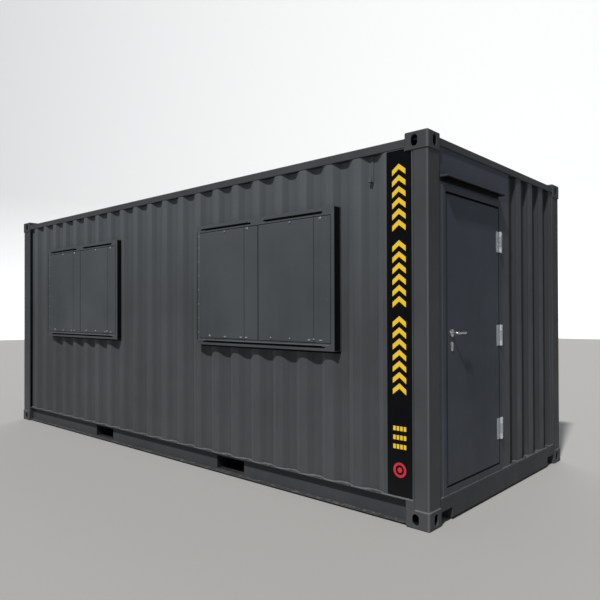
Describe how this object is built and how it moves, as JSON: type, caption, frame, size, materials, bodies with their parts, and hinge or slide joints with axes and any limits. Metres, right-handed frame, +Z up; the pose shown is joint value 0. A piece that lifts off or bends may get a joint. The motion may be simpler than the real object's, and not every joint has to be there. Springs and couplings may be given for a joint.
{
  "type": "shipping container cabin",
  "caption": "Corrugated steel container cabin with corner castings, a hinged side-hung door, shuttered windows, fork pockets and a plywood floor.",
  "frame": {"origin": "on the ground, in the middle of the four bottom corner castings", "axes": "+Z up, +X towards the door end, -Y towards the window side"},
  "size_m": [6.1083, 2.481, 2.591],
  "materials": {
    "container_paint": "satin anthracite paint, light dust",
    "door_paint": "satin anthracite paint",
    "shutter_paint": "satin anthracite paint",
    "underside_paint": "matt black underseal",
    "plywood": "sealed plywood",
    "glass": "clear",
    "zinc_plate": "zinc plated, dull",
    "satin_steel": "satin"
  },
  "bodies": {
    "container": {"bottom_corner_castings": "container_paint", "top_corner_castings": "container_paint", "door_end_post_left": "container_paint", "door_end_post_right": "container_paint", "blind_end_post_front": "container_paint", "blind_end_post_back": "container_paint", "top_side_rail_front": "container_paint", "top_side_rail_back": "container_paint", "bottom_side_rail_front": "container_paint", "bottom_side_rail_back": "container_paint", "top_end_rails": "container_paint", "end_sills": "container_paint", "floor_cross_members": "underside_paint", "fork_pocket_plates": "underside_paint", "plywood_floor": "plywood", "roof_panel": "container_paint", "roof_header_plates": "container_paint", "back_wall": "container_paint", "blind_end_wall": "container_paint", "front_wall_door_end": "container_paint", "front_wall_middle": "container_paint", "front_wall_blind_end": "container_paint", "front_wall_over_windows": "container_paint", "front_wall_under_windows": "container_paint", "door_end_wall": "container_paint", "door_header_panel": "container_paint", "door_side_panels": "container_paint", "door_frame_jambs": "container_paint", "door_frame_head": "container_paint", "door_threshold": "container_paint", "door_stops": "container_paint", "rain_canopy": "container_paint", "window_heads": "container_paint", "window_sills": "container_paint", "window_jambs": "container_paint", "left_shutters": "shutter_paint", "right_shutters": "shutter_paint", "window_panes": "glass", "cable_hook": "container_paint", "hinge_frame_leaves": "zinc_plate"},
    "door": {"door_outer_skin": "door_paint", "door_inner_skin": "door_paint", "hinge_door_leaves": "zinc_plate", "lever_roses": "satin_steel", "lock_escutcheons": "satin_steel", "lock_cylinder": "satin_steel"},
    "lever_handle": {"outer_lever": "satin_steel", "inner_lever": "satin_steel"}
  },
  "joints": [
    {"name": "door_swing", "type": "hinge", "parent": "container", "child": "door", "pos_m": [3.0295, -0.1185, 1.2], "axis": [0, 0, 1], "range_deg": [0, 160]},
    {"name": "lever_turn", "type": "hinge", "parent": "door", "child": "lever_handle", "pos_m": [3.0183, -0.895, 1.266], "axis": [-1, 0, 0], "range_deg": [0, 45], "stiffness_Nm_per_rad": 1.2, "springref_deg": -25.78}
  ]
}
